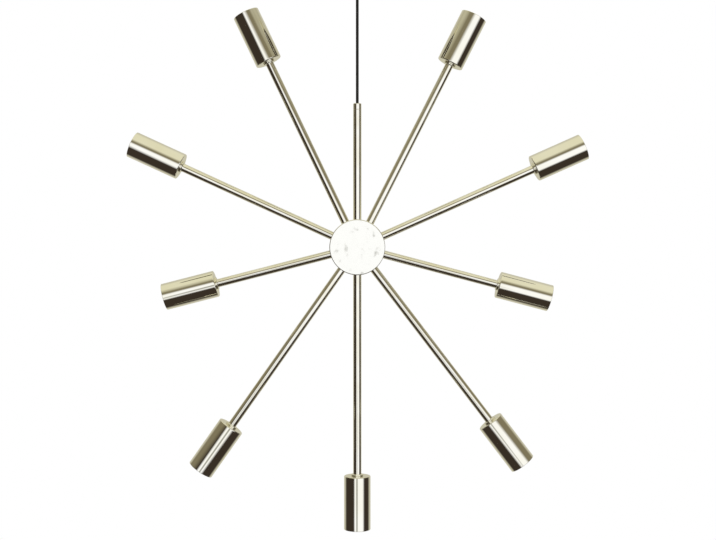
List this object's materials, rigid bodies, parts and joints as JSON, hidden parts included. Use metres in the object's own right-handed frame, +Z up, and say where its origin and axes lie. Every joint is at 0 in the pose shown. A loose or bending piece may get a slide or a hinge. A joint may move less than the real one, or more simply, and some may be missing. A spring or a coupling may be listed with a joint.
{
  "type": "sputnik chandelier",
  "caption": "Flat sputnik chandelier: slim polished arms fan out in one upright plane from a round hub that hangs on a cord, each arm with an open cup for a screw-in lamp.",
  "frame": {"origin": "on the ceiling, over the middle of the lamp: the centre of the bracket's slots", "axes": "+Z up into the ceiling; the arms lie in the XZ plane; the pictured side looks along +Y, from -Y"},
  "size_m": [0.715, 0.11, 0.8665],
  "materials": {
    "polished_plate": "polished light gold plate, mirror bright",
    "zinc_steel": "zinc-plated steel, satin",
    "cord_jacket": "matt black flexible sheath",
    "terminal_plastic": "pale moulded polyamide, matt",
    "porcelain": null,
    "contact_brass": "spring brass strip, plain"
  },
  "bodies": {
    "ceiling_fitting": {"ceiling_bracket": "zinc_steel", "canopy": "polished_plate", "canopy_screws": "polished_plate", "cord_grip": "polished_plate", "cord_grip_nut": "zinc_steel", "mains_terminal_block": "terminal_plastic", "cord_tail": "cord_jacket"},
    "cord_bend": {"cord_bend": "cord_jacket"},
    "cord": {"cord": "cord_jacket"},
    "lamp": {"stem_gland": "polished_plate", "stem_tube": "polished_plate", "stem_cord": "cord_jacket", "cord_stop": "zinc_steel", "hub_body": "polished_plate", "hub_cover": "polished_plate", "hub_junction_block": "terminal_plastic", "arm_tube_1": "polished_plate", "arm_tube_2": "polished_plate", "arm_tube_3": "polished_plate", "arm_tube_4": "polished_plate", "arm_tube_5": "polished_plate", "arm_tube_6": "polished_plate", "arm_tube_7": "polished_plate", "arm_tube_8": "polished_plate", "arm_tube_9": "polished_plate", "lamp_cups": "polished_plate", "lampholders": "porcelain", "centre_contacts": "contact_brass", "arm_leads": "cord_jacket"}
  },
  "joints": [
    {"name": "side_swing", "type": "hinge", "parent": "ceiling_fitting", "child": "cord_bend", "pos_m": [0, 0, -0.032], "axis": [0, 1, 0], "range_deg": [-15, 15]},
    {"name": "front_swing", "type": "hinge", "parent": "cord_bend", "child": "cord", "pos_m": [0, 0, -0.036], "axis": [1, 0, 0], "range_deg": [-15, 15]},
    {"name": "lamp_turn", "type": "hinge", "parent": "cord", "child": "lamp", "pos_m": [0, 0, -0.207], "axis": [0, 0, 1], "range_deg": [-180, 180], "stiffness_Nm_per_rad": 0.005}
  ]
}
